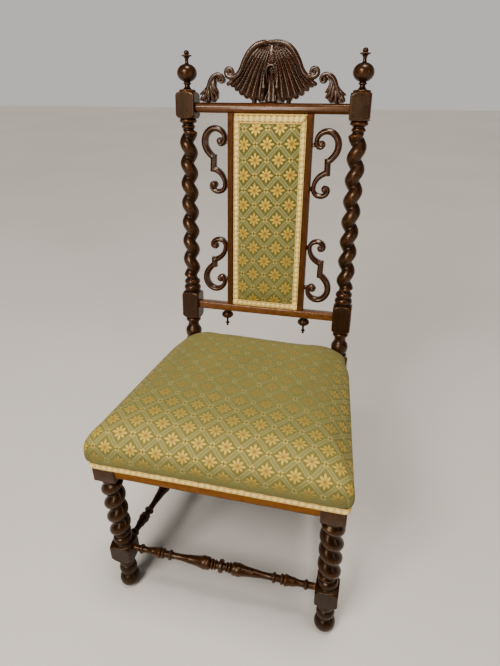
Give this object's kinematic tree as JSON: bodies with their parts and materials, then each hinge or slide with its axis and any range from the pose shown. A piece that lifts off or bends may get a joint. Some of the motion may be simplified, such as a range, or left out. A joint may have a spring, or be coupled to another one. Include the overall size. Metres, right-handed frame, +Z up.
{
  "type": "nursing chair",
  "caption": "Low armless upholstered nursing chair with barley-twist posts and legs, a domed sprung seat, a narrow padded back panel, scroll brackets and a carved shell crest.",
  "frame": {"origin": "on the floor, under the middle of the chair's bounding box", "axes": "+Z up; the sitter faces -Y; +X is to the right for someone looking at the front; X = 0 is the plane of symmetry"},
  "size_m": [0.4812, 0.4994, 1.0172],
  "materials": {
    "dark_walnut": "French-polished, worn, satin gloss",
    "red_walnut": "French-polished, redder and lighter than the turnings",
    "beech": "raw, unpolished",
    "steel": "dull",
    "blued_steel": "blued",
    "spring_steel": "coppered wire, dull",
    "jute_webbing": "coarse woven",
    "hessian": "open plain weave",
    "black_linen": "plain weave",
    "green_brocade": "sage green woven brocade with a gold and cream flower trellis",
    "hair_stuffing": "curled hair",
    "cotton_wadding": "soft",
    "cream_gimp": "woven braid, cream and gold"
  },
  "bodies": {
    "root": {"front_leg_left": "dark_walnut", "front_leg_right": "dark_walnut", "rear_post_left": "dark_walnut", "rear_post_right": "dark_walnut", "finial_left": "dark_walnut", "finial_right": "dark_walnut", "front_stretcher": "dark_walnut", "side_stretcher_left": "dark_walnut", "side_stretcher_right": "dark_walnut", "rear_stretcher": "dark_walnut", "scroll_bracket_upper_left": "dark_walnut", "scroll_bracket_upper_right": "dark_walnut", "scroll_bracket_lower_left": "dark_walnut", "scroll_bracket_lower_right": "dark_walnut", "crest_shell": "dark_walnut", "crest_leaf_left": "dark_walnut", "crest_leaf_right": "dark_walnut", "pendant_left": "dark_walnut", "pendant_right": "dark_walnut", "crest_rail": "red_walnut", "lower_back_rail": "red_walnut", "panel_stile_left": "red_walnut", "panel_stile_right": "red_walnut", "front_seat_rail": "red_walnut", "rear_seat_rail": "beech", "side_seat_rail_left": "beech", "side_seat_rail_right": "beech", "panel_head_batten": "beech", "panel_foot_batten": "beech", "corner_block_front_left": "beech", "corner_block_rear_left": "beech", "corner_block_front_right": "beech", "corner_block_rear_right": "beech", "crest_dowels": "beech", "bracket_dowels": "beech", "corner_block_screws": "steel", "webbing_tacks": "blued_steel", "seat_springs": "spring_steel", "seat_webbing": "jute_webbing", "spring_hessian": "hessian", "back_hessian": "hessian", "seat_bottom_cloth": "black_linen", "seat_cover": "green_brocade", "back_cover": "green_brocade", "outside_back_cover": "green_brocade", "seat_stuffing": "hair_stuffing", "back_padding": "cotton_wadding", "seat_gimp": "cream_gimp", "back_gimp": "cream_gimp", "outside_back_gimp": "cream_gimp"}
  },
  "joints": []
}
